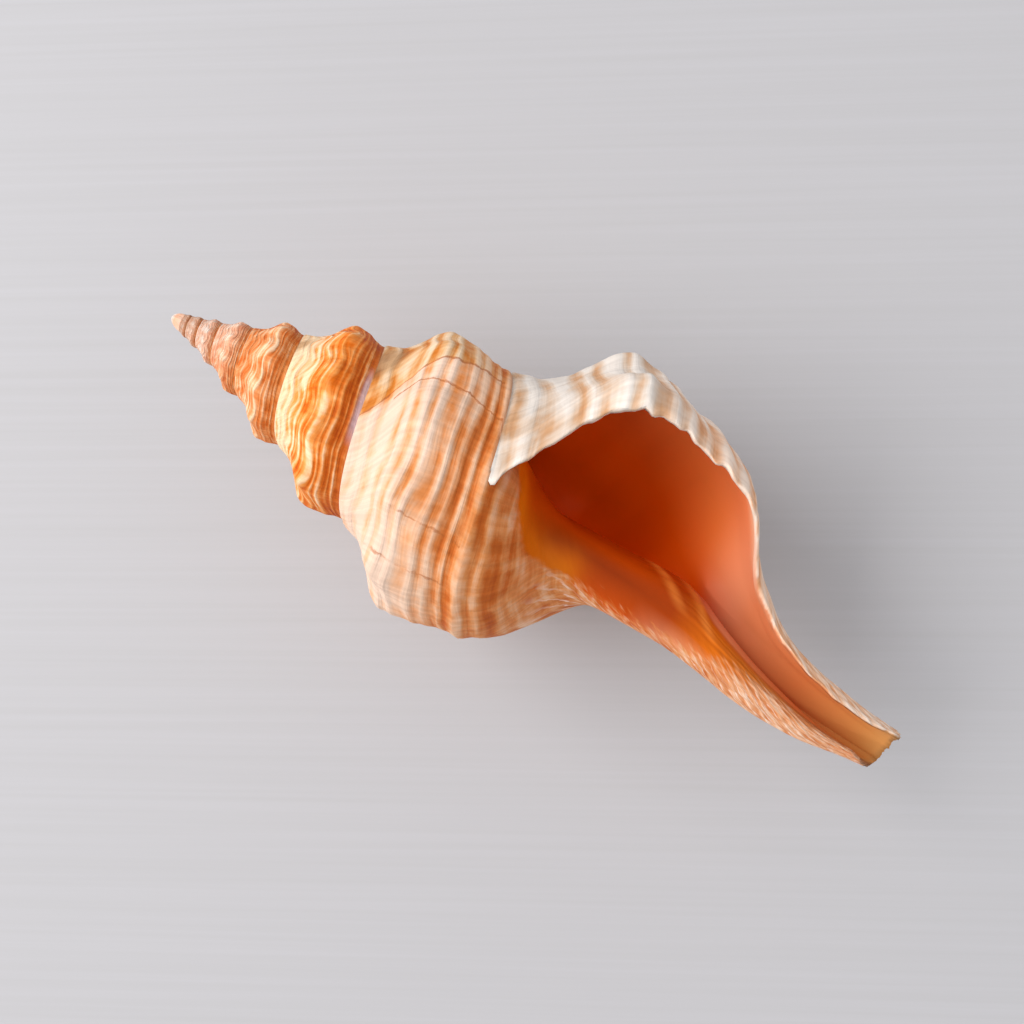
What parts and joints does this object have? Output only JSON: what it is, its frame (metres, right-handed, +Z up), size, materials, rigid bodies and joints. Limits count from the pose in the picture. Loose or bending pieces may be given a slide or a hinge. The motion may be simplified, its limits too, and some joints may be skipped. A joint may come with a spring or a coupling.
{
  "type": "horse conch shell",
  "caption": "Horse conch shell with a stepped spire, blunt shoulder knobs and a long open canal, lying with its mouth up.",
  "frame": {"origin": "centre of the bounding box in X and Y, on the ground the shell lies on", "axes": "+X from the spire toward the open canal, +Y toward the outer lip, +Z up out of the mouth"},
  "size_m": [0.1594, 0.0664, 0.06],
  "materials": {
    "orange_cream_shell": "satin"
  },
  "bodies": {
    "root": {"shell": "orange_cream_shell"}
  },
  "joints": []
}
